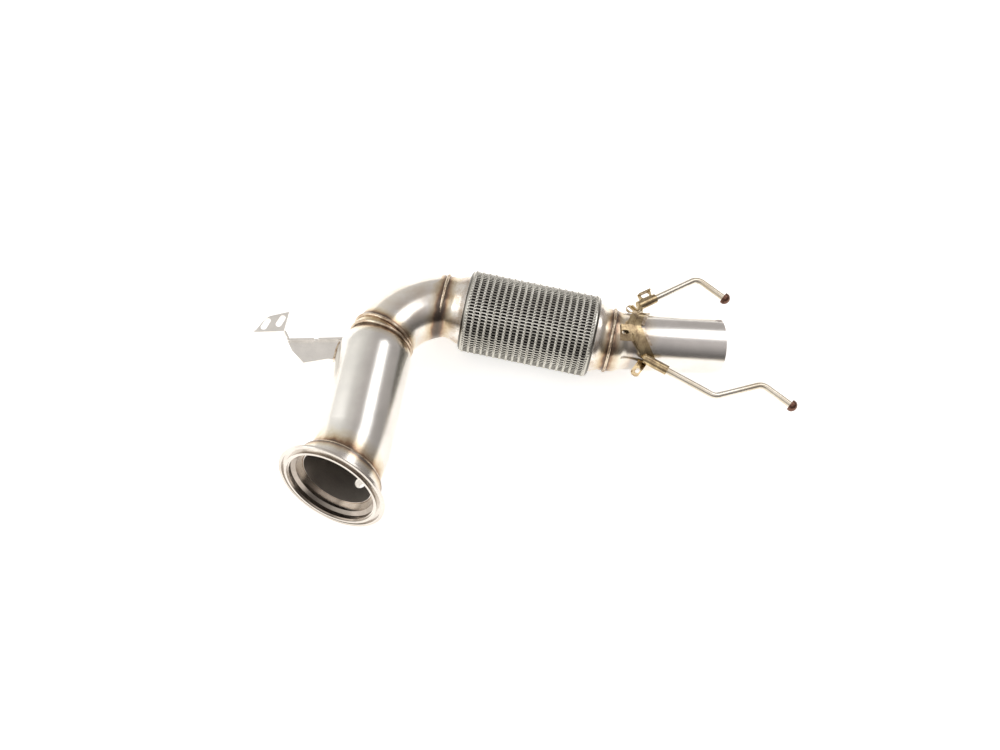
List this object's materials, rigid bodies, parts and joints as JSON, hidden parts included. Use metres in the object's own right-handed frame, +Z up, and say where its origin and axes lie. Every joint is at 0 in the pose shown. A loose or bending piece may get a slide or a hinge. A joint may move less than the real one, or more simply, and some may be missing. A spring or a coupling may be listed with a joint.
{
  "type": "turbo downpipe",
  "caption": "Bent exhaust downpipe with a clamped inlet flange, elbow, braided flexible coupling, plain outlet, hanger saddle with rods and a slotted side support.",
  "frame": {"origin": "centre of the part's box on the floor, as the part lies on its braid and its flange rim", "axes": "+X along the flexible coupling, from the elbow to the plain outlet; +Y away from the inlet flange; +Z up from the floor it lies on"},
  "size_m": [0.6599, 0.4101, 0.1311],
  "materials": {
    "machined_flange": "turned, satin",
    "tube_steel": "drawn and bent, satin, straw and brown near the welds",
    "weld_bead": "rippled, brown and straw",
    "boss_steel": "turned",
    "ring_steel": "spun, satin",
    "braid_steel": "woven wire, bright",
    "bellows_steel": "pressed, bright",
    "liner_steel": "rolled, dull",
    "saddle_steel": "pressed sheet, straw coloured by heat",
    "rod_steel": "drawn, satin",
    "cap_steel": "dark brown, turned",
    "support_steel": "pressed sheet, satin"
  },
  "bodies": {
    "root": {"turbo_flange": "machined_flange", "flange_weld": "weld_bead", "front_tube": "tube_steel", "sensor_boss": "boss_steel", "sensor_boss_weld": "weld_bead", "lower_neck_weld": "weld_bead", "neck_ring": "ring_steel", "upper_neck_weld": "weld_bead", "elbow": "tube_steel", "elbow_weld": "weld_bead", "inlet_collar": "tube_steel", "inlet_end_ring": "ring_steel", "flex_braid": "braid_steel", "flex_bellows": "bellows_steel", "flex_liner": "liner_steel", "outlet_end_ring": "ring_steel", "outlet_collar": "tube_steel", "outlet_weld": "weld_bead", "outlet_tube": "tube_steel", "hanger_saddle": "saddle_steel", "near_saddle_weld": "weld_bead", "far_saddle_weld": "weld_bead", "far_hanger_rod": "rod_steel", "near_hanger_rod": "rod_steel", "far_rod_cap": "cap_steel", "near_rod_cap": "cap_steel", "side_support": "support_steel", "side_support_weld": "weld_bead"}
  },
  "joints": []
}
